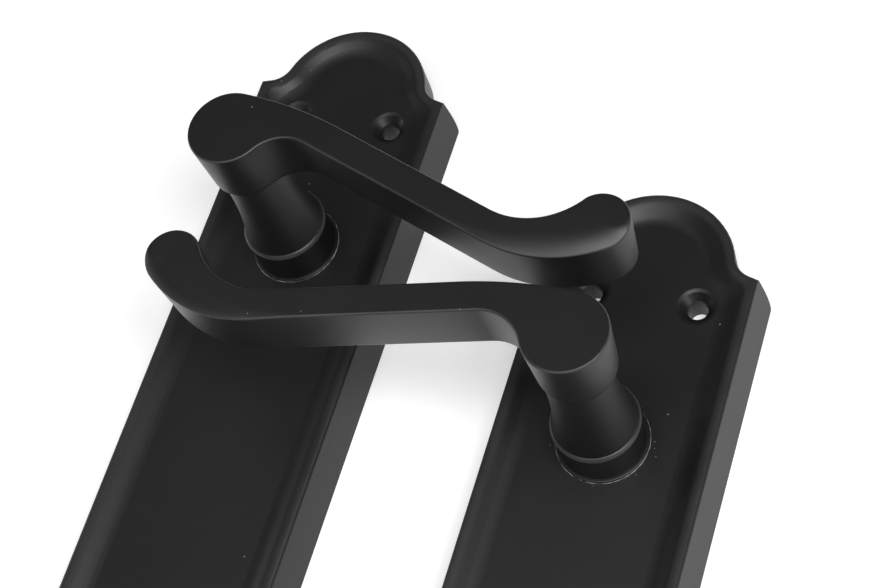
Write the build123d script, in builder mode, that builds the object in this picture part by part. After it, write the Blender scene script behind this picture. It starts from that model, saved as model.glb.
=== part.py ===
from build123d import *
from math import asin, atan, ceil, cos, degrees, hypot, pi, radians, sin, sqrt, tan
import os

os.makedirs("parts", exist_ok=True)

# Sizes in millimetres. The plates lie on z = 0 with their fronts up, and their long axes run along Y.

# Backplate: a hollow casting with domed ends
plate_length = 180.0
plate_width = 48.0
plate_height = 9.0
side_bevel = 2.2
dome_radius = 17.0
ogee_radius = 5.0
shoulder_drop = 16.0
shoulder_slope = 15.0
shoulder_round = 2.0
rim_land = 1.8
rim_edge_round = 0.8
rim_crest_round = 3.5
slope_width = 3.5
panel_drop = 1.8
panel_corner = 6.0
panel_blend = 5.3
land_corner = 2.0
wall = 1.7
boss_from_end = 55.2

# Fixing screws: a countersunk hole in a post near each corner of the plate
screw_spacing_x = 22.0
screw_from_end = 23.6
screw_hole_radius = 2.15
countersink_radius = 3.7
countersink_angle = 90.0
countersink_lip = 0.45
countersink_lip_angle = 140.0
post_radius = 5.2

# How the two handles lie beside each other
pair_spacing_x = 77.0
pair_stagger_y = 32.0

# Lever: head, S-shaped grip and paddle end, whose outline is a chain of tangent arcs
projection = 51.5
lever_depth = 14.6
lever_draft = 3.0
left_grip_fall = 20.6
right_grip_fall = 12.1
head_radius = 8.3
head_offset_x = -0.6
head_offset_y = 0.1
grip_width = 6.25
grip_offset = 8.05
crest_radius = 84.0
notch_radius = 8.2
valley_radius = 14.6
heel_radius = 27.9
tip_radius = 5.7
tip_reach = 76.0
tip_rise = 19.3
top_edge_round = 0.8
under_edge_round = 2.0

# Neck below the head, and the ring at its foot
neck_radius = 6.5
neck_waist_height = 4.0
neck_foot_radius = 8.3
foot_ring_radius = 8.9
foot_ring_height = 1.6

# Shank, its collar bush and the socket for the square spindle
shank_radius = 7.2
tail_radius = 7.0
tail_flat = 6.3
tail_recess = 0.35
spindle_square = 8.1
spindle_corner = 0.6
socket_depth = 26.0
bush_radius = 8.6
bush_height = 7.6
bush_lip_height = 0.5
bush_lip_radius = 9.3
bush_lip_round = 0.3
bush_tail = 0.6
running_clearance = 0.08
seat_gap = 0.05

# Drive cam and what holds it on the shank
thrust_washer_radius = 9.5
thrust_washer_thickness = 0.55
cam_radius = 9.8
cam_thickness = 1.9
dog_width = 5.0
dog_reach = 11.3
dog_clearance = 0.25
tail_dog_reach = 13.5
disc_washer_radius = 9.4
disc_washer_thickness = 0.35
disc_washer_rise = 0.2
groove_depth = 0.6
circlip_thickness = 1.0
circlip_radius = 9.0
circlip_gap = 4.0
circlip_lug_radius = 1.5
circlip_hole_radius = 0.7

# Return spring: round wire, two turns, with both legs bent inward
wire_diameter = 1.0
coil_radius = 16.0
coil_turns = 2
coil_pitch = 1.45
leg_bend = 1.5
leg_start = 10.2
leg_gap = 0.1
spring_clearance = 0.15

# Lug between the spring's legs, and the stops for the cam
lug_length = 1.8
lug_gap = 0.1
swing = 45.0
stop_margin = 1.0
stop_width = 3.0
stop_start = 11.3
stop_end = 14.7

# Spring cover and its two screws
cover_thickness = 0.6
cover_inner_radius = 11.2
cover_outer_radius = 17.4
cover_ear_radius = 2.6
cover_screw_at = 19.0
cover_post_radius = 2.2
cover_screw_radius = 1.1
cover_screw_length = 4.0
cover_screw_head_radius = 1.9
cover_screw_head_height = 0.55
cover_screw_recess = 0.1
cover_hole_gap = 0.15
driver_slot_width = 0.5
driver_slot_depth = 0.3

# Places in the plate that follow from its sizes
half_width = plate_width / 2
half_length = plate_length / 2
boss_y = half_length - boss_from_end
dome_y = half_length - dome_radius
ogee_y = half_length - shoulder_drop + ogee_radius
ogee_x = sqrt((dome_radius + ogee_radius) ** 2 - (ogee_y - dome_y) ** 2)
rim_half_width = half_width - side_bevel
screw_y = half_length - screw_from_end

# Heights that follow
panel_top = plate_height - panel_drop
panel_under = panel_top - wall
bush_top = panel_top + bush_height
bush_end = panel_under - bush_tail
thrust_top = bush_end - seat_gap
thrust_bottom = thrust_top - thrust_washer_thickness
cam_top = thrust_bottom - seat_gap
cam_bottom = cam_top - cam_thickness
disc_washer_bottom = cam_bottom - seat_gap - disc_washer_rise - disc_washer_thickness
circlip_bottom = disc_washer_bottom - circlip_thickness
cover_bottom = cover_screw_recess + cover_screw_head_height
cover_top = cover_bottom + cover_thickness
foot_ring_bottom = bush_top + seat_gap
foot_ring_top = foot_ring_bottom + foot_ring_height
head_bottom = projection - lever_depth

# Spring legs: where each straight leg ends and bends into the coil
leg_x = dog_width / 2 + leg_gap + wire_diameter / 2
bend_x = leg_x + leg_bend
leg_end = sqrt((coil_radius - leg_bend) ** 2 - bend_x**2)
coil_start = asin(bend_x / (coil_radius - leg_bend))
coil_sweep = 2 * pi * coil_turns - 2 * coil_start
spring_bottom = cover_top + spring_clearance + wire_diameter / 2

# Angle of the stops from the cam's tail dog at rest
stop_corner = atan(stop_width / 2 / stop_start) + asin(dog_width / 2 / hypot(stop_start, stop_width / 2))
stop_turn = swing + stop_margin + degrees(stop_corner)


def level(seat, z):
    """Level plane at height z whose origin is on the seat's axis."""
    return Plane(origin=(seat.X, seat.Y, z))


def upright(seat):
    """Upright plane through the seat's axis, for profiles drawn as radius and height."""
    return Plane(origin=(seat.X, seat.Y, 0), x_dir=(1, 0, 0), z_dir=(0, -1, 0))


def axis_at(seat):
    """Upright axis of a handle's boss."""
    return Axis((seat.X, seat.Y, 0), (0, 0, 1))


def plate_outline(side, inset, corner, sloped=False):
    """Outline of the plate with its arcs set in by inset and its long sides at side, as a face."""
    dome = dome_radius - inset
    ogee = ogee_radius + inset
    centre = Vector(ogee_x, ogee_y)
    from_dome = (Vector(0, dome_y) - centre).normalized()
    join = centre + from_dome * ogee
    lean = radians(shoulder_slope)
    if sloped:
        turn = centre - Vector(sin(lean), cos(lean)) * ogee
        edge = Vector(side, turn.Y - (side - turn.X) * tan(lean))
    else:
        turn = Vector(side, ogee_y - sqrt(ogee**2 - (side - ogee_x) ** 2))
        edge = turn
    middle = centre + (from_dome + (turn - centre).normalized()).normalized() * ogee
    with BuildSketch(mode=Mode.PRIVATE) as outline:
        with BuildLine():
            for up in (1, -1):
                ThreePointArc((-join.X, up * join.Y), (0, up * (half_length - inset)), (join.X, up * join.Y))
                for across in (1, -1):
                    ends = [(across * point.X, up * point.Y) for point in (join, middle, turn)]
                    ThreePointArc(*ends)
                    if sloped:
                        Line(ends[2], (across * edge.X, up * edge.Y))
            for across in (1, -1):
                Line((across * side, edge.Y), (across * side, -edge.Y))
        make_face()
        fillet([v for v in outline.vertices() if abs(abs(v.X) - side) < 0.01], corner)
    return outline.sketch


def backplate(side, centre, seat):
    """Cast plate: domed ends, bevelled sides, raised rim, sunken panel, and posts and lugs behind."""
    with BuildPart() as plate:
        with BuildSketch(level(centre, 0)):
            add(plate_outline(half_width, 0, shoulder_round, sloped=True))
        extrude(amount=plate_height)
        with BuildSketch(upright(centre)):
            with BuildLine():
                foot = (half_width, 0)
                brow = (rim_half_width, plate_height)
                Polyline((-foot[0], 0), foot, brow, (-brow[0], plate_height), close=True)
            make_face()
        extrude(amount=half_length, both=True, mode=Mode.INTERSECT)

        # Sunken panel with the band that slopes down to it
        land_side = rim_half_width - rim_land
        with BuildSketch(level(centre, plate_height)):
            add(plate_outline(land_side, rim_land, land_corner))
        with BuildSketch(level(centre, panel_top)):
            add(plate_outline(land_side - slope_width, rim_land + slope_width, panel_corner))
        loft(ruled=True, mode=Mode.SUBTRACT)
        fillet(plate.faces().filter_by(Axis.Z).group_by(Axis.Z)[-2].edges(), panel_blend)
        land = plate.faces().filter_by(Axis.Z).sort_by(Axis.Z)[-1]
        fillet(land.inner_wires()[0].edges(), rim_crest_round)
        land = plate.faces().filter_by(Axis.Z).sort_by(Axis.Z)[-1]
        fillet(land.outer_wire().edges(), rim_edge_round)

        # Hollow back
        with BuildSketch(level(centre, 0)):
            add(plate_outline(half_width - wall, wall, land_corner))
        with BuildSketch(level(centre, panel_under)):
            add(plate_outline(half_width - wall - side_bevel * panel_under / plate_height, wall, land_corner))
        loft(ruled=True, mode=Mode.SUBTRACT)

        # Posts and countersunk holes for the fixing screws
        holes = [(x * screw_spacing_x / 2, y * screw_y) for x in (-1, 1) for y in (-1, 1)]
        with BuildSketch(level(centre, 0)):
            with Locations(*holes):
                Circle(post_radius)
        extrude(amount=panel_under)
        with BuildSketch(level(centre, 0)):
            with Locations(*holes):
                Circle(screw_hole_radius)
        extrude(amount=plate_height, mode=Mode.SUBTRACT)
        lip_radius = countersink_radius + countersink_lip
        cones = [(countersink_radius, countersink_angle, plate_height)]
        cones.append((lip_radius, countersink_lip_angle, panel_top))
        for floor_radius, angle, top in cones:
            flare = tan(radians(angle / 2))
            cone_radius = floor_radius + (top - panel_top) * flare
            cone_height = cone_radius / flare
            with Locations(level(centre, top - cone_height / 2)):
                with Locations(*holes):
                    Cone(0, cone_radius, cone_height, mode=Mode.SUBTRACT)

        # Lug between the spring's legs, stops for the cam, and posts for the spring cover
        with BuildSketch(level(seat, cover_top)):
            with Locations((0, leg_end - lug_gap - lug_length / 2)):
                Rectangle(dog_width, lug_length)
            for turn in (-stop_turn, stop_turn):
                with PolarLocations((stop_start + stop_end) / 2, 1, start_angle=turn - 90):
                    Rectangle(stop_end - stop_start, stop_width)
            with Locations((-cover_screw_at, 0), (cover_screw_at, 0)):
                Circle(cover_post_radius)
        extrude(amount=panel_under - cover_top)
        with BuildSketch(level(seat, cover_top)):
            with Locations((-cover_screw_at, 0), (cover_screw_at, 0)):
                Circle(cover_screw_radius + seat_gap)
        extrude(amount=cover_screw_length - cover_thickness + seat_gap, mode=Mode.SUBTRACT)

        # Bore for the collar bush
        with BuildSketch(level(seat, 0)):
            Circle(bush_radius + seat_gap)
        extrude(amount=plate_height, mode=Mode.SUBTRACT)
    plate.part.label = f"{side}_backplate"
    export_step(plate.part, f"parts/{side}_backplate.step")


def lever_outline(hand, fall, inset):
    """Outline of the head, grip and paddle from above, set in by inset; it runs to -X where hand is -1.

    It is worked out with the grip along X, then turned down by its fall.
    """
    head = Vector(head_offset_x, head_offset_y)
    tip = Vector(tip_reach, tip_rise)
    upper = grip_offset + grip_width / 2
    lower = grip_offset - grip_width / 2

    def arc_centre(circle, distance, height, toward_tip):
        """Point at a height and at a distance from a circle's centre, on its side toward the tip or away."""
        rise = height - circle.Y
        return circle + Vector(toward_tip * sqrt(distance**2 - rise**2), rise)

    crest = arc_centre(head, crest_radius - head_radius, upper - crest_radius, 1)
    notch = arc_centre(head, head_radius + notch_radius, lower - notch_radius, 1)
    valley = arc_centre(tip, tip_radius + valley_radius, upper + valley_radius, -1)
    heel = arc_centre(tip, heel_radius - tip_radius, lower + heel_radius, -1)

    # Where the arcs meet each other and the two straight sides of the grip
    head_crest = head - (crest - head).normalized() * (head_radius - inset)
    crest_end = crest + Vector(0, crest_radius - inset)
    valley_start = valley - Vector(0, valley_radius + inset)
    tip_valley = tip + (valley - tip).normalized() * (tip_radius - inset)
    tip_heel = tip - (heel - tip).normalized() * (tip_radius - inset)
    heel_end = heel - Vector(0, heel_radius - inset)
    notch_start = notch + Vector(0, notch_radius + inset)
    head_notch = head + (notch - head).normalized() * (head_radius - inset)

    def placed(point):
        """Point turned down by the grip's fall and mirrored for the hand."""
        turned = point.rotate(Axis.Z, -fall)
        return (hand * turned.X, turned.Y)

    def arc(start, centre, end):
        """Arc about a centre, by way of the point halfway between its ends."""
        half = ((start - centre).normalized() + (end - centre).normalized()).normalized()
        ThreePointArc(placed(start), placed(centre + half * (start - centre).length), placed(end))

    with BuildSketch(mode=Mode.PRIVATE) as outline:
        with BuildLine():
            back = head - Vector(head_radius - inset, 0)
            end = tip + Vector(tip_radius - inset, 0)
            ThreePointArc(placed(head_notch), placed(back), placed(head_crest))
            arc(head_crest, crest, crest_end)
            Line(placed(crest_end), placed(valley_start))
            arc(valley_start, valley, tip_valley)
            ThreePointArc(placed(tip_valley), placed(end), placed(tip_heel))
            arc(tip_heel, heel, heel_end)
            Line(placed(heel_end), placed(notch_start))
            arc(notch_start, notch, head_notch)
        make_face()
    return outline.sketch


def lever_handle(side, hand, fall, seat):
    """One casting: scroll grip and head above, waisted neck, and the shank with its flats and socket."""
    with BuildPart() as lever:
        with BuildSketch(level(seat, projection)):
            add(lever_outline(hand, fall, 0))
        with BuildSketch(level(seat, head_bottom)):
            add(lever_outline(hand, fall, lever_depth * tan(radians(lever_draft))))
        loft(ruled=True)
        fillet(lever.faces().sort_by(Axis.Z)[-1].edges(), top_edge_round)
        fillet(lever.faces().sort_by(Axis.Z)[0].edges(), under_edge_round)

        # Neck, foot ring, shank and tail
        waist_top = head_bottom + under_edge_round
        waist = head_bottom - neck_waist_height
        ring_middle = (foot_ring_bottom + foot_ring_top) / 2
        with BuildSketch(upright(seat)):
            with BuildLine():
                Polyline((neck_radius, waist), (neck_radius, waist_top), (0, waist_top), (0, tail_recess))
                Polyline((0, tail_recess), (tail_radius, tail_recess), (tail_radius, thrust_bottom))
                Polyline((tail_radius, thrust_bottom), (shank_radius, thrust_bottom))
                Polyline((shank_radius, thrust_bottom), (shank_radius, foot_ring_bottom))
                Line((shank_radius, foot_ring_bottom), (neck_foot_radius, foot_ring_bottom))
                ThreePointArc(
                    (neck_foot_radius, foot_ring_bottom),
                    (foot_ring_radius, ring_middle),
                    (neck_foot_radius, foot_ring_top),
                )
                TangentArc((neck_radius, waist), (neck_foot_radius, foot_ring_top), tangent=(0, -1))
            make_face()
        revolve(axis=axis_at(seat))

        # Flats and groove on the tail, and the square socket
        with BuildSketch(level(seat, tail_recess)):
            for up in (1, -1):
                with Locations((0, up * (tail_flat + tail_radius) / 2)):
                    Rectangle(2 * tail_radius, tail_radius - tail_flat)
        extrude(amount=thrust_bottom - tail_recess, mode=Mode.SUBTRACT)
        with BuildSketch(level(seat, circlip_bottom)):
            Circle(tail_radius)
            Circle(tail_radius - groove_depth, mode=Mode.SUBTRACT)
        extrude(amount=circlip_thickness, mode=Mode.SUBTRACT)
        with BuildSketch(level(seat, tail_recess)):
            RectangleRounded(spindle_square, spindle_square, spindle_corner)
        extrude(amount=socket_depth, mode=Mode.SUBTRACT)
    lever.part.label = f"{side}_lever"
    export_step(lever.part, f"parts/{side}_lever.step")


def collar_bush(side, seat):
    """Turned nylon bush: the collar round the shank, with a lip on the plate and a tail through it."""
    with BuildPart() as bush:
        with BuildSketch(level(seat, bush_end)):
            Circle(bush_radius)
            Circle(shank_radius + running_clearance, mode=Mode.SUBTRACT)
        extrude(amount=bush_top - bush_end)
        with BuildSketch(level(seat, panel_top)):
            Circle(bush_lip_radius)
            Circle(bush_radius, mode=Mode.SUBTRACT)
        extrude(amount=bush_lip_height)
        rim = bush.edges().filter_by(GeomType.CIRCLE).group_by(SortBy.RADIUS)[-1].sort_by(Axis.Z)[-1]
        fillet(rim, bush_lip_round)
    bush.part.label = f"{side}_bush"
    export_step(bush.part, f"parts/{side}_bush.step")


def thrust_washer(side, seat):
    """Nylon washer between the bush's tail and the cam."""
    with BuildPart() as washer:
        with BuildSketch(level(seat, thrust_bottom)):
            Circle(thrust_washer_radius)
            Circle(shank_radius + running_clearance, mode=Mode.SUBTRACT)
        extrude(amount=thrust_washer_thickness)
    washer.part.label = f"{side}_thrust_washer"
    export_step(washer.part, f"parts/{side}_thrust_washer.step")


def drive_cam(side, seat):
    """Steel cam on the shank's flats: a tall dog for the spring's legs and a tail dog for the stops."""
    dog_bottom = cover_top + dog_clearance
    dog_top = panel_under - dog_clearance
    with BuildPart() as cam:
        with BuildSketch(level(seat, cam_bottom)):
            Circle(cam_radius)
            with Locations((0, -tail_dog_reach / 2)):
                Rectangle(dog_width, tail_dog_reach)
        extrude(amount=cam_thickness)
        with BuildSketch(level(seat, dog_bottom)):
            with Locations((0, dog_reach / 2)):
                Rectangle(dog_width, dog_reach)
            Circle(cam_radius, mode=Mode.SUBTRACT)
        extrude(amount=dog_top - dog_bottom)
        with BuildSketch(level(seat, dog_bottom)):
            Circle(tail_radius + seat_gap)
            Rectangle(2 * cam_radius, 2 * (tail_flat + seat_gap), mode=Mode.INTERSECT)
        extrude(amount=dog_top - dog_bottom, mode=Mode.SUBTRACT)
    cam.part.label = f"{side}_drive_cam"
    export_step(cam.part, f"parts/{side}_drive_cam.step")


def coil_point(seat, turned):
    """Point of the coil's centre line, and its direction, after turning so far from its lower leg."""
    angle = pi / 2 - coil_start - turned
    height = spring_bottom + coil_pitch * turned / (2 * pi)
    point = Vector(seat.X + coil_radius * cos(angle), seat.Y + coil_radius * sin(angle), height)
    direction = Vector(coil_radius * sin(angle), -coil_radius * cos(angle), coil_pitch / (2 * pi))
    return point, direction.normalized()


def tangent_pair(start, leaving, end, arriving):
    """Two tangent arcs from a point and direction to another point and direction."""
    chord = end - start
    both = leaving + arriving
    turn = 1 - leaving.dot(arriving)
    reach = (sqrt(chord.dot(both) ** 2 + 2 * turn * chord.dot(chord)) - chord.dot(both)) / (2 * turn)
    middle = (start + end + (leaving - arriving) * reach) * 0.5
    first = TangentArc(start, middle, tangent=leaving)
    TangentArc(middle, end, tangent=first % 1)


def return_spring(side, seat):
    """Double-acting torsion spring: two turns of round wire, with both legs bent in beside the lug."""
    steps = ceil(coil_sweep / (pi / 2))
    stations = [coil_point(seat, coil_sweep * step / steps) for step in range(steps + 1)]
    low, high = stations[0][0].Z, stations[-1][0].Z
    with BuildPart() as spring:
        with BuildLine() as route:
            Line((seat.X + leg_x, seat.Y + leg_start, low), (seat.X + leg_x, seat.Y + leg_end, low))
            tangent_pair(Vector(seat.X + leg_x, seat.Y + leg_end, low), Vector(0, 1, 0), *stations[0])
            for (start, leaving), (end, arriving) in zip(stations, stations[1:]):
                tangent_pair(start, leaving, end, arriving)
            tangent_pair(*stations[-1], Vector(seat.X - leg_x, seat.Y + leg_end, high), Vector(0, -1, 0))
            Line((seat.X - leg_x, seat.Y + leg_end, high), (seat.X - leg_x, seat.Y + leg_start, high))
        wire = route.wires()[0]
        with BuildSketch(Plane(origin=wire @ 0, z_dir=wire % 0)):
            Circle(wire_diameter / 2)
        sweep(path=wire)
    spring.part.label = f"{side}_return_spring"
    export_step(spring.part, f"parts/{side}_return_spring.step")

    # Least gap of the wire to itself, measured between points that lie well apart along it
    samples = 500
    points = [wire @ (index / samples) for index in range(samples + 1)]
    apart = ceil(samples * 4 * wire_diameter / wire.length)
    gap = min((a - b).length for i, a in enumerate(points) for b in points[i + apart :]) - wire_diameter
    print(f"{side} return spring: wire {wire.length:.1f} mm long, least gap to itself {gap:.2f} mm")


def spring_cover(side, seat):
    """Pressed steel ring that keeps the spring in the plate, with an ear at each side."""
    with BuildPart() as cover:
        with BuildSketch(level(seat, cover_bottom)):
            Circle(cover_outer_radius)
            with Locations((-cover_screw_at, 0), (cover_screw_at, 0)):
                Circle(cover_ear_radius)
            Rectangle(2 * cover_screw_at, 2 * cover_ear_radius)
            Circle(cover_inner_radius, mode=Mode.SUBTRACT)
            with Locations((-cover_screw_at, 0), (cover_screw_at, 0)):
                Circle(cover_screw_radius + cover_hole_gap, mode=Mode.SUBTRACT)
        extrude(amount=cover_thickness)
    cover.part.label = f"{side}_spring_cover"
    export_step(cover.part, f"parts/{side}_spring_cover.step")


def cover_screws(side, seat):
    """The two slotted screws that hold the spring cover."""
    with BuildPart() as screws:
        with BuildSketch(level(seat, cover_screw_recess)):
            with Locations((-cover_screw_at, 0), (cover_screw_at, 0)):
                Circle(cover_screw_head_radius)
        extrude(amount=cover_screw_head_height)
        with BuildSketch(level(seat, cover_bottom)):
            with Locations((-cover_screw_at, 0), (cover_screw_at, 0)):
                Circle(cover_screw_radius)
        extrude(amount=cover_screw_length)
        with BuildSketch(level(seat, cover_screw_recess)):
            with Locations((-cover_screw_at, 0), (cover_screw_at, 0)):
                Rectangle(2 * cover_screw_head_radius, driver_slot_width)
        extrude(amount=driver_slot_depth, mode=Mode.SUBTRACT)
    screws.part.label = f"{side}_cover_screws"
    export_step(screws.part, f"parts/{side}_cover_screws.step")


def disc_washer(side, seat):
    """Conical spring washer that takes up the lever's end float."""
    inner = tail_radius + seat_gap
    with BuildPart() as washer:
        with BuildSketch(upright(seat)):
            with BuildLine():
                Polyline(
                    (inner, disc_washer_bottom),
                    (disc_washer_radius, disc_washer_bottom + disc_washer_rise),
                    (disc_washer_radius, disc_washer_bottom + disc_washer_rise + disc_washer_thickness),
                    (inner, disc_washer_bottom + disc_washer_thickness),
                    close=True,
                )
            make_face()
        revolve(axis=axis_at(seat))
    washer.part.label = f"{side}_disc_washer"
    export_step(washer.part, f"parts/{side}_disc_washer.step")


def circlip(side, seat):
    """Retaining ring in the tail's groove, open at one side, with two eyes for the pliers."""
    eye_x = circlip_gap / 2 + circlip_lug_radius
    eye_y = -sqrt(circlip_radius**2 - eye_x**2)
    with BuildPart() as ring:
        with BuildSketch(level(seat, circlip_bottom)):
            Circle(circlip_radius)
            with Locations((-eye_x, eye_y), (eye_x, eye_y)):
                Circle(circlip_lug_radius)
            Circle(tail_radius - groove_depth + seat_gap, mode=Mode.SUBTRACT)
            with Locations((0, -circlip_radius)):
                Rectangle(circlip_gap, circlip_radius, mode=Mode.SUBTRACT)
            with Locations((-eye_x, eye_y), (eye_x, eye_y)):
                Circle(circlip_hole_radius, mode=Mode.SUBTRACT)
        extrude(amount=circlip_thickness)
    ring.part.label = f"{side}_circlip"
    export_step(ring.part, f"parts/{side}_circlip.step")


# Each handle lies beside the other: its side, its hand, the fall of its grip and the centre of its plate
handles = [
    ("left", 1, left_grip_fall, Vector(-pair_spacing_x / 2, pair_stagger_y / 2)),
    ("right", -1, right_grip_fall, Vector(pair_spacing_x / 2, -pair_stagger_y / 2)),
]
for side, hand, fall, centre in handles:
    seat = centre + Vector(0, boss_y)
    backplate(side, centre, seat)
    lever_handle(side, hand, fall, seat)
    collar_bush(side, seat)
    thrust_washer(side, seat)
    drive_cam(side, seat)
    return_spring(side, seat)
    spring_cover(side, seat)
    cover_screws(side, seat)
    disc_washer(side, seat)
    circlip(side, seat)
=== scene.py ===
import math
import random

import bmesh
import bpy
from mathutils import Matrix, Vector


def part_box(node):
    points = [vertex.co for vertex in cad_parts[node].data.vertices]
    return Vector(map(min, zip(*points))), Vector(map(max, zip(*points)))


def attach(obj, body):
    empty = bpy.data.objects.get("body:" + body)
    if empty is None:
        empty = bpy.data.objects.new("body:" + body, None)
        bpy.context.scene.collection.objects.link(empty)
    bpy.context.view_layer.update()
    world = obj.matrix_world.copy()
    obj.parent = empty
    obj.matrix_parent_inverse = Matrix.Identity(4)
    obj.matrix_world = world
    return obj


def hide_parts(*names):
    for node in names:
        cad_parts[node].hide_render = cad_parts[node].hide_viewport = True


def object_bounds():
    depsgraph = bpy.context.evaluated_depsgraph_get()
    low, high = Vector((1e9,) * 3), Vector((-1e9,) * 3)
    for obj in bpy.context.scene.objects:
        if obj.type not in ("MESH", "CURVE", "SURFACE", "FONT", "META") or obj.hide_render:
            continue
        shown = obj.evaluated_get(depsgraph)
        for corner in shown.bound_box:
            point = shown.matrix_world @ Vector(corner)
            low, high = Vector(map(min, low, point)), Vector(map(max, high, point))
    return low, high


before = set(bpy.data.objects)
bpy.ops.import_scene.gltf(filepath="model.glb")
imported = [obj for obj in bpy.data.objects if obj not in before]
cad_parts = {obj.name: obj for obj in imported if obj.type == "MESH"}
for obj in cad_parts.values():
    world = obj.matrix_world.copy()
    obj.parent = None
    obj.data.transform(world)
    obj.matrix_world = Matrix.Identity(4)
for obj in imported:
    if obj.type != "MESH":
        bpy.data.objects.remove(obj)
cad_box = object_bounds()


# Backplates.
# Each is one zinc die casting with domed ends, a raised rim and a sunken panel. It is shot blasted and then
# powder coated in satin black, so its edges are soft and its faces carry a faint orange peel.

# Sizes are in millimetres up to the last section, and mm turns them to metres.
mm = 0.001
sides = ("left", "right")
rim_height = 9.0
crest_band = 0.25
coat_tones = ("131314", "19191b")
coat_gloss_spread = 0.05
peel_size = 1.3
peel_strength = 0.35
coat_grain_size = 0.35
coat_grain_depth = 0.012
coat_grain_strength = 0.3
coat_cloud_size = 16.0
dust_tone = "7d7d7a"
dust_spacing = 5.0
dust_radius = 0.17
dust_share = 0.28
plate_peel_depth = 0.03
plate_gloss = 0.42
plate_worn_tone = "343536"


def tint(code):
    """Linear colour of an sRGB hex code such as "2a2b2d"."""
    parts = [int(code[i : i + 2], 16) / 255 for i in (0, 2, 4)]
    return [c / 12.92 if c <= 0.04045 else ((c + 0.055) / 1.055) ** 2.4 for c in parts] + [1.0]


def per_metre(size):
    """Scale of a pattern whose grains are so many millimetres apart."""
    return 1 / (size * mm)


def new_material(name, roughness=0.5, metallic=0.0, base="808080"):
    """Material with its own shader, named for the real finish."""
    material = bpy.data.materials.new(name)
    material.use_nodes = True
    shader = material.node_tree.nodes["Principled BSDF"]
    shader.inputs["Base Color"].default_value = tint(base)
    shader.inputs["Roughness"].default_value = roughness
    shader.inputs["Metallic"].default_value = metallic
    return material, shader


def add_node(material, kind, settings=(), values=(), links=()):
    """Adds a node: its settings, the values of its inputs, and the outputs that feed its inputs."""
    node = material.node_tree.nodes.new(kind)
    for name, value in dict(settings).items():
        setattr(node, name, value)
    for name, value in dict(values).items():
        node.inputs[name].default_value = value
    for name, output in dict(links).items():
        material.node_tree.links.new(output, node.inputs[name])
    return node


def feed(material, shader, links):
    """Links outputs to the shader's inputs."""
    for name, output in links.items():
        material.node_tree.links.new(output, shader.inputs[name])


def finish_with(node_name, material):
    """Gives a CAD node its material."""
    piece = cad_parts[node_name]
    piece.data.materials.clear()
    piece.data.materials.append(material)


def powder_coat(name, peel_depth, gloss, wear_and_sheen_tone, wear_and_sheen):
    """Satin black powder coat: orange peel, fine grain, specks of dust, and a paler tone where the mask says:
    wear on crests and edges, and a painted highlight on the lever's foot ring.
    """
    material, shader = new_material(name)
    place = add_node(material, "ShaderNodeTexCoord").outputs["Object"]
    peel = add_node(material, "ShaderNodeTexNoise", values={"Scale": per_metre(peel_size), "Detail": 2.0},
                    links={"Vector": place}).outputs["Fac"]

    # The real grain is too fine to show, so it is drawn coarse enough
    grain = add_node(material, "ShaderNodeTexNoise",
                     values={"Scale": per_metre(coat_grain_size), "Detail": 3.0},
                     links={"Vector": place}).outputs["Fac"]
    cloud = add_node(material, "ShaderNodeTexNoise",
                     values={"Scale": per_metre(coat_cloud_size), "Detail": 5.0},
                     links={"Vector": place}).outputs["Fac"]

    # Dust that settled in the wet coat: sparse pale specks
    cells = add_node(material, "ShaderNodeTexVoronoi", values={"Scale": per_metre(dust_spacing)},
                     links={"Vector": place})
    near = add_node(material, "ShaderNodeMath", {"operation": "LESS_THAN"}, {1: dust_radius / dust_spacing},
                    {0: cells.outputs["Distance"]}).outputs[0]
    pick = add_node(material, "ShaderNodeSeparateColor", links={"Color": cells.outputs["Color"]})
    few = add_node(material, "ShaderNodeMath", {"operation": "GREATER_THAN"}, {1: 1 - dust_share},
                   {0: pick.outputs["Red"]}).outputs[0]
    dust = add_node(material, "ShaderNodeMath", {"operation": "MULTIPLY"}, links={0: near, 1: few}).outputs[0]

    tone = add_node(material, "ShaderNodeMix", {"data_type": "RGBA"},
                    {6: tint(coat_tones[0]), 7: tint(coat_tones[1])}, {0: cloud}).outputs[2]
    # Paler tone from the mask: wear on the plate's crest and the grip's edges, a painted highlight on the
    # foot ring
    wear_and_sheen_mask = wear_and_sheen(material, place, cloud)
    tone = add_node(material, "ShaderNodeMix", {"data_type": "RGBA"}, {7: tint(wear_and_sheen_tone)},
                    {0: wear_and_sheen_mask, 6: tone}).outputs[2]
    tone = add_node(material, "ShaderNodeMix", {"data_type": "RGBA"}, {7: tint(dust_tone)},
                    {0: dust, 6: tone}).outputs[2]
    rough = add_node(material, "ShaderNodeMapRange",
                     values={"To Min": gloss - coat_gloss_spread, "To Max": gloss + coat_gloss_spread},
                     links={"Value": cloud}).outputs["Result"]
    coarse = add_node(material, "ShaderNodeBump",
                      values={"Strength": peel_strength, "Distance": peel_depth * mm},
                      links={"Height": peel}).outputs["Normal"]
    fine = add_node(material, "ShaderNodeBump",
                    values={"Strength": coat_grain_strength, "Distance": coat_grain_depth * mm},
                    links={"Height": grain, "Normal": coarse}).outputs["Normal"]
    feed(material, shader, {"Base Color": tone, "Roughness": rough, "Normal": fine})
    return material


def rubbed_ridge(material, place, cloud):
    """Mask that rises along the crest of the plate's rim, broken by the cloudy noise."""
    height = add_node(material, "ShaderNodeSeparateXYZ", links={"Vector": place}).outputs["Z"]
    crest = add_node(material, "ShaderNodeMapRange",
                     values={"From Min": (rim_height - crest_band) * mm, "From Max": rim_height * mm},
                     links={"Value": height}).outputs["Result"]
    return add_node(material, "ShaderNodeMath", {"operation": "MULTIPLY"},
                    links={0: crest, 1: cloud}).outputs[0]


plate_coat = powder_coat("satin_black_powder_coat", plate_peel_depth, plate_gloss, plate_worn_tone,
                         rubbed_ridge)
for side in sides:
    finish_with(f"{side}_backplate", plate_coat)


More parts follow.
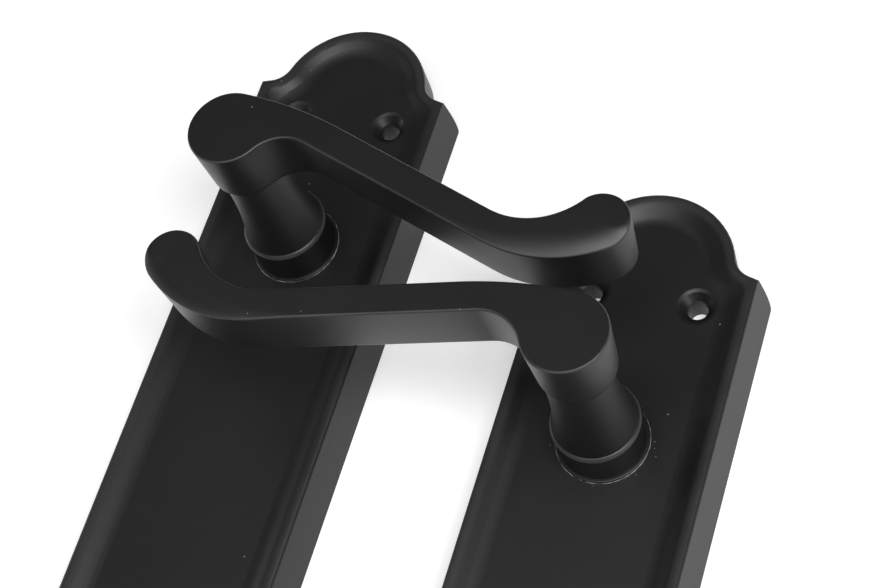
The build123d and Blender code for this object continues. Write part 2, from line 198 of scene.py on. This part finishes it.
# Collar bushes and thrust washers.
# Moulded black nylon: the collar that the lever turns in, pressed through the plate, and the washer below it.
# Nylon gives an even, slightly waxy black. A bead of lacquer dried where the collar's lip meets the plate.

lip_radius = 9.3
panel_height = 7.2
nylon_tones = ("101011", "171718")
nylon_gloss = (0.34, 0.46)
nylon_grain_size = 0.4
nylon_grain_depth = 0.01
nylon_grain_strength = 0.25
nylon_cloud_size = 6.0
lacquer_tones = ("2c2c2c", "8c8c8a")
lacquer_gloss = 0.4
mottle_size = 1.6
mottle_range = (0.38, 0.6)
bead_width = 0.13
bead_height = 0.12
bead_tuck = 0.03
bead_sink = 0.02
bead_stations = 160
bead_waves = (3, 7, 16, 31)
bead_wave_share = 5
drops = {"left": 2, "right": 10}
drop_turn = (-1.9, 0.9)
drop_reach = (0.4, 1.9)
drop_size = (0.06, 0.14)
drop_stretch = (0.6, 1.6)
drop_flatness = 0.45


def moulded_nylon():
    """Black nylon from a fine-eroded mould: even tone, soft gloss and a grain drawn coarse enough to show."""
    material, shader = new_material("moulded_black_nylon")
    place = add_node(material, "ShaderNodeTexCoord").outputs["Object"]
    grain = add_node(material, "ShaderNodeTexNoise",
                     values={"Scale": per_metre(nylon_grain_size), "Detail": 2.0},
                     links={"Vector": place}).outputs["Fac"]
    cloud = add_node(material, "ShaderNodeTexNoise",
                     values={"Scale": per_metre(nylon_cloud_size), "Detail": 3.0},
                     links={"Vector": place}).outputs["Fac"]
    tone = add_node(material, "ShaderNodeMix", {"data_type": "RGBA"},
                    {6: tint(nylon_tones[0]), 7: tint(nylon_tones[1])}, {0: cloud}).outputs[2]
    rough = add_node(material, "ShaderNodeMapRange",
                     values={"To Min": nylon_gloss[0], "To Max": nylon_gloss[1]},
                     links={"Value": cloud}).outputs["Result"]
    bump = add_node(material, "ShaderNodeBump",
                    values={"Strength": nylon_grain_strength, "Distance": nylon_grain_depth * mm},
                    links={"Height": grain}).outputs["Normal"]
    feed(material, shader, {"Base Color": tone, "Roughness": rough, "Normal": bump})
    return material


def dried_lacquer():
    """Lacquer dried to a pale and broken line: half-gloss grey with a mottle about 1.6 mm across."""
    material, shader = new_material("dried_lacquer", roughness=lacquer_gloss)
    place = add_node(material, "ShaderNodeTexCoord").outputs["Object"]
    mottle = add_node(material, "ShaderNodeTexNoise", values={"Scale": per_metre(mottle_size), "Detail": 3.0},
                      links={"Vector": place}).outputs["Fac"]
    spread = add_node(material, "ShaderNodeMapRange",
                      values={"From Min": mottle_range[0], "From Max": mottle_range[1]},
                      links={"Value": mottle}).outputs["Result"]
    tone = add_node(material, "ShaderNodeMix", {"data_type": "RGBA"},
                    {6: tint(lacquer_tones[0]), 7: tint(lacquer_tones[1])}, {0: spread}).outputs[2]
    feed(material, shader, {"Base Color": tone})
    return material


def add_piece(name, mesh, material, body):
    """Puts a mesh in the scene as a piece that rides on a body."""
    mesh.materials.append(material)
    piece = bpy.data.objects.new(name, mesh)
    bpy.context.scene.collection.objects.link(piece)
    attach(piece, body)
    return piece


def seat_of(side):
    """Place of a handle's axis on the table, in metres, from its bush."""
    low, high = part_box(f"{side}_bush")
    return Vector(((low.x + high.x) / 2, (low.y + high.y) / 2, 0))


def lacquer_bead(side, chance):
    """Uneven bead round the collar's lip, with a few drops beside it."""
    build = bmesh.new()
    waves = [(count, chance.uniform(0, math.tau)) for count in bead_waves]
    rings = []
    for station in range(bead_stations):
        turn = math.tau * station / bead_stations
        swell = 1 + sum(math.sin(count * turn + shift) for count, shift in waves) / bead_wave_share
        wide, tall = bead_width * swell, bead_height * swell
        corners = [(-bead_tuck, tall), (0.5 * wide, 0.8 * tall), (0.85 * wide, 0.4 * tall),
                   (wide, -bead_sink), (-bead_tuck, -bead_sink)]
        ring = []
        for out, up in corners:
            reach = lip_radius + out
            spot = Vector((reach * math.cos(turn), reach * math.sin(turn), panel_height + up))
            ring.append(build.verts.new(spot))
        rings.append(ring)
    for ring, following in zip(rings, rings[1:] + rings[:1]):
        for corner in range(len(ring)):
            beside = (corner + 1) % len(ring)
            build.faces.new((ring[corner], following[corner], following[beside], ring[beside]))
    for drop in range(drops[side]):
        turn = chance.uniform(*drop_turn)
        reach = lip_radius + chance.uniform(*drop_reach)
        size = chance.uniform(*drop_size)
        spot = Vector((reach * math.cos(turn), reach * math.sin(turn), panel_height))
        shape = Matrix.Translation(spot) @ Matrix.Rotation(turn, 4, "Z") @ Matrix.Diagonal(
            (size, size * chance.uniform(*drop_stretch), size * drop_flatness, 1))
        bmesh.ops.create_icosphere(build, subdivisions=2, radius=1, matrix=shape)
    bmesh.ops.recalc_face_normals(build, faces=build.faces)
    bmesh.ops.scale(build, vec=(mm, mm, mm), verts=build.verts)
    bmesh.ops.translate(build, vec=seat_of(side), verts=build.verts)
    mesh = bpy.data.meshes.new(f"{side}_lacquer_bead")
    build.to_mesh(mesh)
    build.free()
    mesh.shade_smooth()
    return mesh


nylon = moulded_nylon()
lacquer = dried_lacquer()
chance = random.Random(7)
for side in sides:
    for piece in ("bush", "thrust_washer"):
        finish_with(f"{side}_{piece}", nylon)
    add_piece(f"{side}_lacquer_bead", lacquer_bead(side, chance), lacquer, "plates")


# Lever castings.
# Each is one zinc casting: a scroll grip and head on a waisted neck, whose shank runs down through the bush.
# It is linished, then coated like the plate. Its top falls away gently toward the near edge of the paddle.

projection = 51.5
lever_depth = 14.6
draft = math.radians(3.0)
grip_falls = {"left": 20.6, "right": 12.1}
hands = {"left": 1, "right": -1}
head = Vector((-0.6, 0.1))
head_radius = 8.3
tip = Vector((76.0, 19.3))
tip_radius = 5.7
grip_line = 8.05
grip_width = 6.25
grip_upper = grip_line + grip_width / 2
grip_lower = grip_line - grip_width / 2
crest_radius = 84.0
notch_radius = 8.2
valley_radius = 14.6
heel_radius = 27.9
edge_round = 0.5
flat_reach = 0.6
crown_reach = 3.8
crown_fall = 1.1
crown_from = 50.0
crown_to = 73.0
crown_side = (-0.6, 0.6)
under_round = 2.0
head_bottom = projection - lever_depth
neck_radius = 6.5
waist_height = head_bottom - 4.0
foot_radius = 8.3
ring_radius = 8.9
ring_bottom = 14.85
ring_top = 16.45
shank_radius = 7.2
tail_radius = 7.0
tail_top = 4.3
tail_flat = 6.3
groove_top = 1.75
groove_bottom = 0.75
groove_radius = 6.4
tail_end = 0.35
socket_side = 8.1
socket_top = 26.35
step_length = 1.1
step_angle = math.radians(6)
under_steps = 6
edge_steps = 9
crown_steps = 6
flare_steps = 16
ring_steps = 12
turned_steps = 96
cap_margin = 0.2
cutter_side = 10
cutter_overrun = 1
crease = math.radians(32)
rub_start = 0.6
lever_peel_depth = 0.015
lever_gloss = 0.41
# Warm grey of worn edges, also used on the foot ring as a painted highlight.
lever_wear_and_sheen_tone = "52504c"


def arc_centre(circle, distance, height, toward_tip):
    """Point at a height and a distance from a circle's centre, on its side toward the tip or away."""
    rise = height - circle.y
    return circle + Vector((toward_tip * math.sqrt(distance**2 - rise**2), rise))


def arc_run(centre, start, end, bulge):
    """Points along an arc with their inward directions; bulge is 1 on a swelling arc and -1 in a hollow."""
    first = math.atan2(start.y - centre.y, start.x - centre.x)
    last = math.atan2(end.y - centre.y, end.x - centre.x)
    sweep = (bulge * (first - last)) % math.tau
    radius = (start - centre).length
    steps = math.ceil(max(sweep * radius / step_length, sweep / step_angle))
    for step in range(steps):
        angle = first - bulge * sweep * step / steps
        out = Vector((math.cos(angle), math.sin(angle)))
        yield centre + out * radius, -out * bulge


def straight_run(start, end):
    """Points along a straight side with their inward directions."""
    along = (end - start).normalized()
    steps = math.ceil((end - start).length / (2 * step_length))
    for step in range(steps):
        yield start.lerp(end, step / steps), Vector((along.y, -along.x))


def grip_outline():
    """Clockwise outline of the head, grip and paddle, with the grip along X."""
    crest = arc_centre(head, crest_radius - head_radius, grip_upper - crest_radius, 1)
    notch = arc_centre(head, head_radius + notch_radius, grip_lower - notch_radius, 1)
    valley = arc_centre(tip, tip_radius + valley_radius, grip_upper + valley_radius, -1)
    heel = arc_centre(tip, heel_radius - tip_radius, grip_lower + heel_radius, -1)
    head_crest = head - (crest - head).normalized() * head_radius
    head_notch = head + (notch - head).normalized() * head_radius
    tip_valley = tip + (valley - tip).normalized() * tip_radius
    tip_heel = tip - (heel - tip).normalized() * tip_radius
    crest_end = crest + Vector((0, crest_radius))
    valley_start = valley - Vector((0, valley_radius))
    heel_end = heel - Vector((0, heel_radius))
    notch_start = notch + Vector((0, notch_radius))
    outline = list(arc_run(head, head_notch, head_crest, 1))
    outline += arc_run(crest, head_crest, crest_end, 1)
    outline += straight_run(crest_end, valley_start)
    outline += arc_run(valley, valley_start, tip_valley, -1)
    outline += arc_run(tip, tip_valley, tip_heel, 1)
    outline += arc_run(heel, tip_heel, heel_end, 1)
    outline += straight_run(heel_end, notch_start)
    outline += arc_run(notch, notch_start, head_notch, -1)
    return outline


def ease(value, start, end):
    """Smooth rise from 0 at start to 1 at end."""
    share = min(max((value - start) / (end - start), 0), 1)
    return share * share * (3 - 2 * share)


def grip_profile(point, inward):
    """Insets and heights of the section at a point of the outline, from the underside up to the top face."""
    crown = ease(point.x, crown_from, crown_to) * ease(inward.y, *crown_side)
    fall = crown_fall * crown
    reach = flat_reach + crown_reach * crown
    slope = math.atan(2 * fall / reach)
    round_centre = projection - fall - edge_round * math.cos(slope)

    def lean(height):
        return (projection - height) * math.tan(draft)

    rows = [(lean(head_bottom) + under_round + cap_margin, head_bottom)]
    for step in range(under_steps + 1):
        angle = math.pi / 2 * step / under_steps
        height = head_bottom + under_round * (1 - math.cos(angle))
        rows.append((lean(height) + under_round * (1 - math.sin(angle)), height))
    middle = (head_bottom + projection) / 2
    rows.append((lean(middle), middle))
    for step in range(edge_steps + 1):
        angle = (math.pi / 2 - slope) * step / edge_steps
        height = round_centre + edge_round * math.sin(angle)
        rows.append((lean(height) + edge_round * (1 - math.cos(angle)), height))
    edge_inset = rows[-1][0]
    for step in range(1, crown_steps + 1):
        share = step / crown_steps
        rows.append((edge_inset + reach * share, projection - fall * (1 - share) ** 2))
    return rows


def grip_mesh():
    """Closed mesh of the head, grip and paddle."""
    build = bmesh.new()
    columns = []
    for point, inward in grip_outline():
        column = []
        for inset, height in grip_profile(point, inward):
            place = point + inward * inset
            column.append(build.verts.new((place.x, place.y, height)))
        columns.append(column)
    for column, following in zip(columns, columns[1:] + columns[:1]):
        for row in range(len(column) - 1):
            build.faces.new((column[row], following[row], following[row + 1], column[row + 1]))
    build.faces.new([column[-1] for column in columns])
    build.faces.new([column[0] for column in reversed(columns)])
    bmesh.ops.recalc_face_normals(build, faces=build.faces)
    mesh = bpy.data.meshes.new("grip")
    build.to_mesh(mesh)
    build.free()
    return mesh


def shank_profile():
    """Radii and heights of the neck, foot ring, shank and tail, from the head down."""
    rows = [(0, head_bottom + under_round), (neck_radius, head_bottom + under_round)]
    flare = foot_radius - neck_radius
    drop = waist_height - ring_top
    sweep_radius = (flare**2 + drop**2) / (2 * flare)
    sweep = math.asin(drop / sweep_radius)
    for step in range(flare_steps + 1):
        angle = sweep * step / flare_steps
        height = waist_height - sweep_radius * math.sin(angle)
        rows.append((neck_radius + sweep_radius * (1 - math.cos(angle)), height))
    half = (ring_top - ring_bottom) / 2
    bulge = ring_radius - foot_radius
    bead = (half**2 + bulge**2) / (2 * bulge)
    opening = math.asin(half / bead)
    for step in range(1, ring_steps + 1):
        angle = opening * (1 - 2 * step / ring_steps)
        height = (ring_top + ring_bottom) / 2 + bead * math.sin(angle)
        rows.append((ring_radius - bead * (1 - math.cos(angle)), height))
    rows += [(shank_radius, ring_bottom), (shank_radius, tail_top), (tail_radius, tail_top)]
    rows += [(tail_radius, groove_top), (groove_radius, groove_top)]
    rows += [(groove_radius, groove_bottom), (tail_radius, groove_bottom)]
    rows += [(tail_radius, tail_end), (0, tail_end)]
    return rows


def turned_mesh(rows):
    """Closed mesh turned about Z from radii and heights that start and end on the axis."""
    build = bmesh.new()
    turns = [math.tau * step / turned_steps for step in range(turned_steps)]
    rings = []
    for radius, height in rows:
        if radius == 0:
            rings.append([build.verts.new((0, 0, height))] * turned_steps)
            continue
        places = [(radius * math.cos(turn), radius * math.sin(turn), height) for turn in turns]
        rings.append([build.verts.new(place) for place in places])
    for ring, lower in zip(rings, rings[1:]):
        for step in range(turned_steps):
            beside = (step + 1) % turned_steps
            corners = dict.fromkeys((ring[step], lower[step], lower[beside], ring[beside]))
            build.faces.new(list(corners))
    bmesh.ops.recalc_face_normals(build, faces=build.faces)
    mesh = bpy.data.meshes.new("shank")
    build.to_mesh(mesh)
    build.free()
    return mesh


def block_mesh(low, high):
    """Block between two corners, used as a cutter."""
    build = bmesh.new()
    bmesh.ops.create_cube(build, size=1)
    for vertex in build.verts:
        vertex.co = [low[axis] if vertex.co[axis] < 0 else high[axis] for axis in range(3)]
    mesh = bpy.data.meshes.new("cutter")
    build.to_mesh(mesh)
    build.free()
    return mesh


def machine(work, tool_mesh, operation):
    """Joins a mesh to the work, or cuts the work with it."""
    tool = bpy.data.objects.new("tool", tool_mesh)
    bpy.context.scene.collection.objects.link(tool)
    step = work.modifiers.new(operation, "BOOLEAN")
    step.operation = operation
    step.solver = "EXACT"
    step.object = tool
    bpy.context.view_layer.update()
    shaped = bpy.data.meshes.new_from_object(work.evaluated_get(bpy.context.evaluated_depsgraph_get()))
    work.modifiers.clear()
    work.data = shaped
    bpy.data.objects.remove(tool)


def lever_mesh(side):
    """A side's casting in its place: grip and shank joined, with the tail's flats and the square socket."""
    work = bpy.data.objects.new("work", grip_mesh())
    bpy.context.scene.collection.objects.link(work)
    fall = Matrix.Rotation(math.radians(-grip_falls[side]), 4, "Z")
    work.data.transform(Matrix.Diagonal((hands[side], 1, 1, 1)) @ fall)
    if hands[side] < 0:
        work.data.flip_normals()
    machine(work, turned_mesh(shank_profile()), "UNION")
    for up in (-1, 1):
        inner, outer = sorted((up * tail_flat, up * 2 * tail_radius))
        flat = block_mesh((-cutter_side, inner, tail_end - cutter_overrun), (cutter_side, outer, tail_top))
        machine(work, flat, "DIFFERENCE")
    half = socket_side / 2
    socket = block_mesh((-half, -half, tail_end - cutter_overrun), (half, half, socket_top))
    machine(work, socket, "DIFFERENCE")
    mesh = work.data
    bpy.data.objects.remove(work)
    rub_and_sheen = mesh.attributes.new("wear_and_sheen", "FLOAT", "POINT")
    for vertex in mesh.vertices:
        if vertex.co.z > projection - crown_fall - edge_round:
            tilt = math.acos(min(vertex.normal.z, 1))
            rub_and_sheen.data[vertex.index].value = ease(math.sin(2 * tilt), rub_start, 1)
        # The foot ring's crest takes the paler tone too: a painted highlight, partly wear.
        elif ring_bottom < vertex.co.z < ring_top:
            rub_and_sheen.data[vertex.index].value = ease(vertex.co.xy.length, foot_radius, ring_radius)
    mesh.transform(Matrix.Translation(seat_of(side)) @ Matrix.Scale(mm, 4))
    mesh.shade_smooth()
    mesh.set_sharp_from_angle(angle=crease)
    return mesh


def rubbed_edge_and_ring_sheen(material, place, cloud):
    """Mask along the grip's upper edge, where the coat is polished by wear, and round the foot ring's crest,
    where it is a painted highlight that is partly wear.
    """
    rub_and_sheen = add_node(material, "ShaderNodeAttribute", {"attribute_name": "wear_and_sheen"}).outputs["Fac"]
    return add_node(material, "ShaderNodeMath", {"operation": "MULTIPLY"},
                    links={0: rub_and_sheen, 1: cloud}).outputs[0]


# Its paler tone is wear on the grip's edges and a painted highlight on the foot ring.
lever_coat = powder_coat("handled_satin_black_coat_with_ring_sheen", lever_peel_depth, lever_gloss, lever_wear_and_sheen_tone,
                         rubbed_edge_and_ring_sheen)
for side in sides:
    casting = add_piece(f"{side}_lever_casting", lever_mesh(side), lever_coat, f"{side}_handle")
    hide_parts(f"{side}_lever")
    finish_with(f"{side}_lever", lever_coat)


# Works behind the plates.
# A keyed steel cam turns with the shank against a two-turn torsion spring, and a pressed ring plate on two
# screws keeps the spring in. A conical washer and a circlip hold the shank.

zinc_tones = ("a9aeb4", "c6c8c6")
zinc_gloss = (0.24, 0.42)
rolling_size = 0.25
rolling_stretch = 0.04
rolling_depth = 0.008
passivate_size = 4.0
spring_tones = ("5b5a58", "7f7b73")
spring_gloss = (0.22, 0.38)
stain_size = 2.5
drawing_size = 0.2
drawing_depth = 0.006
steel_bump_strength = 0.2


def plated_steel():
    """Zinc-plated steel: bright blue-grey, cloudy passivate and rolling lines drawn coarse enough to show."""
    material, shader = new_material("zinc_plated_pressed_steel", metallic=1.0)
    place = add_node(material, "ShaderNodeTexCoord").outputs["Object"]
    stretched = add_node(material, "ShaderNodeMapping", values={"Scale": (1, rolling_stretch, 1)},
                         links={"Vector": place}).outputs["Vector"]
    lines = add_node(material, "ShaderNodeTexNoise",
                     values={"Scale": per_metre(rolling_size), "Detail": 3.0},
                     links={"Vector": stretched}).outputs["Fac"]
    cloud = add_node(material, "ShaderNodeTexNoise",
                     values={"Scale": per_metre(passivate_size), "Detail": 4.0},
                     links={"Vector": place}).outputs["Fac"]
    tone = add_node(material, "ShaderNodeMix", {"data_type": "RGBA"},
                    {6: tint(zinc_tones[0]), 7: tint(zinc_tones[1])}, {0: cloud}).outputs[2]
    rough = add_node(material, "ShaderNodeMapRange",
                     values={"To Min": zinc_gloss[0], "To Max": zinc_gloss[1]},
                     links={"Value": lines}).outputs["Result"]
    bump = add_node(material, "ShaderNodeBump",
                    values={"Strength": steel_bump_strength, "Distance": rolling_depth * mm},
                    links={"Height": lines}).outputs["Normal"]
    feed(material, shader, {"Base Color": tone, "Roughness": rough, "Normal": bump})
    return material


def oiled_spring_steel():
    """Hardened spring steel under oil: dark straw-grey metal with soft stains a few millimetres across."""
    material, shader = new_material("oiled_spring_steel", metallic=1.0)
    place = add_node(material, "ShaderNodeTexCoord").outputs["Object"]

    # The real drawing marks are too fine to show, so they are drawn coarse enough
    stain = add_node(material, "ShaderNodeTexNoise", values={"Scale": per_metre(stain_size), "Detail": 4.0},
                     links={"Vector": place}).outputs["Fac"]
    drawn = add_node(material, "ShaderNodeTexNoise", values={"Scale": per_metre(drawing_size), "Detail": 2.0},
                     links={"Vector": place}).outputs["Fac"]
    tone = add_node(material, "ShaderNodeMix", {"data_type": "RGBA"},
                    {6: tint(spring_tones[0]), 7: tint(spring_tones[1])}, {0: stain}).outputs[2]
    rough = add_node(material, "ShaderNodeMapRange",
                     values={"To Min": spring_gloss[0], "To Max": spring_gloss[1]},
                     links={"Value": stain}).outputs["Result"]
    bump = add_node(material, "ShaderNodeBump",
                    values={"Strength": steel_bump_strength, "Distance": drawing_depth * mm},
                    links={"Height": drawn}).outputs["Normal"]
    feed(material, shader, {"Base Color": tone, "Roughness": rough, "Normal": bump})
    return material


zinc = plated_steel()
spring_steel = oiled_spring_steel()
for side in sides:
    for piece in ("drive_cam", "spring_cover", "cover_screws"):
        finish_with(f"{side}_{piece}", zinc)
    for piece in ("return_spring", "disc_washer", "circlip"):
        finish_with(f"{side}_{piece}", spring_steel)


# Table, lamps and camera.
# The pair lies on a white paper sweep that the lens sees as white but for the shadows. The strongest of its
# soft lamps is high on its right. The camera looks down past the right plate's long side.

# Distances in this section are in metres, and the camera's sensor is in millimetres.
sweep_half = 6.0
sweep_gap = 0.0001
paper_tone = "f2f2f2"
paper_roughness = 0.9
paper_glow = 0.35
white_level = 1.0
room_light = 0.11
lamp_distance = 0.9
lamp_side = 0.3
lamps = {
    "lamp_high_right": (337, 60, 3.4),
    "lamp_overhead": (315, 78, 2.0),
    "lamp_high_near": (247, 60, 1.35),
    "lamp_high_far": (150, 65, 0.15),
    "lamp_low_left": (180, 12, 0.85),
    "lamp_low_right": (350, 29, 1.5),
}

sweep_mesh = bpy.data.meshes.new("paper_sweep")
corners = [(-sweep_half, -sweep_half, 0), (sweep_half, -sweep_half, 0), (sweep_half, sweep_half, 0),
           (-sweep_half, sweep_half, 0)]
sweep_mesh.from_pydata(corners, [], [(0, 1, 2, 3)])
sweep = bpy.data.objects.new("paper_sweep", sweep_mesh)
bpy.context.scene.collection.objects.link(sweep)
sweep.location.z = cad_box[0].z - sweep_gap

paper, shader = new_material("white_paper", paper_roughness, base=paper_tone)
path = add_node(paper, "ShaderNodeLightPath")
seen = add_node(paper, "ShaderNodeMath", {"operation": "ADD", "use_clamp": True},
                links={0: path.outputs["Is Camera Ray"], 1: path.outputs["Is Glossy Ray"]}).outputs[0]
seen = add_node(paper, "ShaderNodeMath", {"operation": "ADD", "use_clamp": True},
                links={0: seen, 1: path.outputs["Is Transmission Ray"]}).outputs[0]
strength = add_node(paper, "ShaderNodeMath", {"operation": "MULTIPLY"}, {1: paper_glow}, {0: seen}).outputs[0]
glow = add_node(paper, "ShaderNodeEmission", links={"Strength": strength}).outputs[0]
both = add_node(paper, "ShaderNodeAddShader", links={0: shader.outputs[0], 1: glow}).outputs[0]
paper.node_tree.links.new(both, paper.node_tree.nodes["Material Output"].inputs["Surface"])
sweep_mesh.materials.append(paper)

world = bpy.data.worlds.new("room")
bpy.context.scene.world = world
world.use_nodes = True
path = add_node(world, "ShaderNodeLightPath")
level = add_node(world, "ShaderNodeMapRange", values={"To Min": room_light, "To Max": white_level},
                 links={"Value": path.outputs["Is Camera Ray"]}).outputs["Result"]
background = world.node_tree.nodes["Background"]
background.inputs["Color"].default_value = tint("ffffff")
world.node_tree.links.new(level, background.inputs["Strength"])

for name, (azimuth, elevation, watts) in lamps.items():
    light = bpy.data.lights.new(name, "AREA")
    light.size = lamp_side
    light.energy = watts
    holder = bpy.data.objects.new(name, light)
    bpy.context.scene.collection.objects.link(holder)
    turn, rise = math.radians(azimuth), math.radians(elevation)
    toward = Vector((math.cos(rise) * math.cos(turn), math.cos(rise) * math.sin(turn), math.sin(rise)))
    holder.location = toward * lamp_distance
    holder.rotation_euler = (-toward).to_track_quat("-Z", "Y").to_euler()

picture_width = 871
focal_pixels = 1975.59
sensor_width = 36.0
nearest_seen = 0.01
lens_from_left_axis = Vector((0.176014, -0.175973, 0.349345))
sight = Vector((-0.348492, 0.415835, -0.840021))
picture_right = Vector((0.925964, 0.29177, -0.239711))
scene = bpy.context.scene
scene.view_settings.view_transform = "Standard"
camera = bpy.data.cameras.new("camera")
holder = bpy.data.objects.new("camera", camera)
scene.collection.objects.link(holder)
turned = Matrix((picture_right, picture_right.cross(sight), -sight)).transposed().to_4x4()
holder.matrix_world = Matrix.Translation(seat_of("left") + lens_from_left_axis) @ turned
camera.sensor_width = sensor_width
camera.lens = sensor_width * focal_pixels / picture_width
camera.clip_start = nearest_seen
scene.camera = holder
